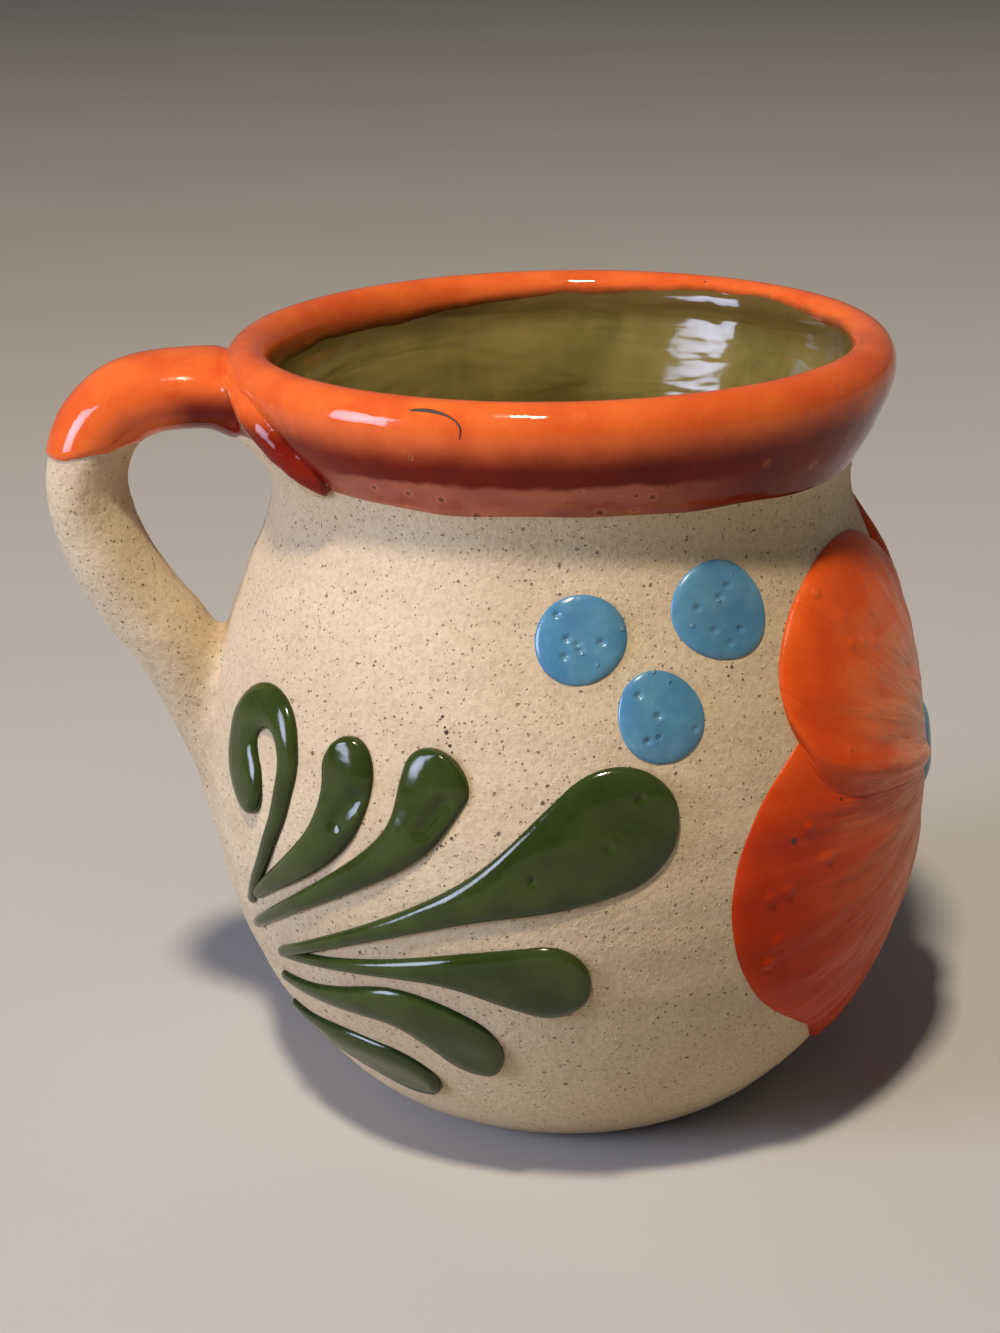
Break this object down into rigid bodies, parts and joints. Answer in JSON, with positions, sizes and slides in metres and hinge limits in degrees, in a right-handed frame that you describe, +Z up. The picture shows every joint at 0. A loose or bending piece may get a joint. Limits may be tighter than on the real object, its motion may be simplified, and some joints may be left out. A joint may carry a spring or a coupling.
{
  "type": "clay mug",
  "caption": "Round-bellied clay mug with a rolled lip dipped in orange glaze, a pulled loop handle and raised slip leaves, dots and a flower on bare buff clay.",
  "frame": {"origin": "centre of the flat foot, on the surface that the mug stands on", "axes": "+Z up along the axis of the pot, -X towards the handle, +X towards the flower"},
  "size_m": [0.1117, 0.0926, 0.0977],
  "materials": {
    "clay": "bare fired clay, sandy and matte with fine dark specks",
    "luting_slip": "bare fired slip, smooth and matte",
    "olive_glaze": "glossy olive glaze, pooled",
    "orange_glaze": "glossy orange dip glaze, thinner and pinker at the dip line, with pinholes",
    "green_slip": "thick glossy dark green slip",
    "blue_slip": "satin sky blue slip with small pits",
    "red_slip": "brushed red-orange slip with paler streaks"
  },
  "bodies": {
    "root": {"clay_body": "clay", "handle": "clay", "upper_luting": "luting_slip", "lower_luting": "luting_slip", "lining_glaze": "olive_glaze", "lip_glaze": "orange_glaze", "handle_glaze": "orange_glaze", "left_curl_leaf": "green_slip", "left_bud_leaf": "green_slip", "left_short_leaf": "green_slip", "left_broad_leaf": "green_slip", "left_long_leaf": "green_slip", "left_low_leaf": "green_slip", "left_foot_leaf": "green_slip", "right_curl_leaf": "green_slip", "right_bud_leaf": "green_slip", "right_short_leaf": "green_slip", "right_broad_leaf": "green_slip", "right_long_leaf": "green_slip", "right_low_leaf": "green_slip", "right_foot_leaf": "green_slip", "left_outer_dot": "blue_slip", "left_upper_dot": "blue_slip", "left_lower_dot": "blue_slip", "right_outer_dot": "blue_slip", "right_upper_dot": "blue_slip", "right_lower_dot": "blue_slip", "left_petal": "red_slip", "bottom_petal": "red_slip", "right_petal": "red_slip", "upper_right_petal": "red_slip", "upper_left_petal": "red_slip", "flower_centre": "blue_slip"}
  },
  "joints": []
}
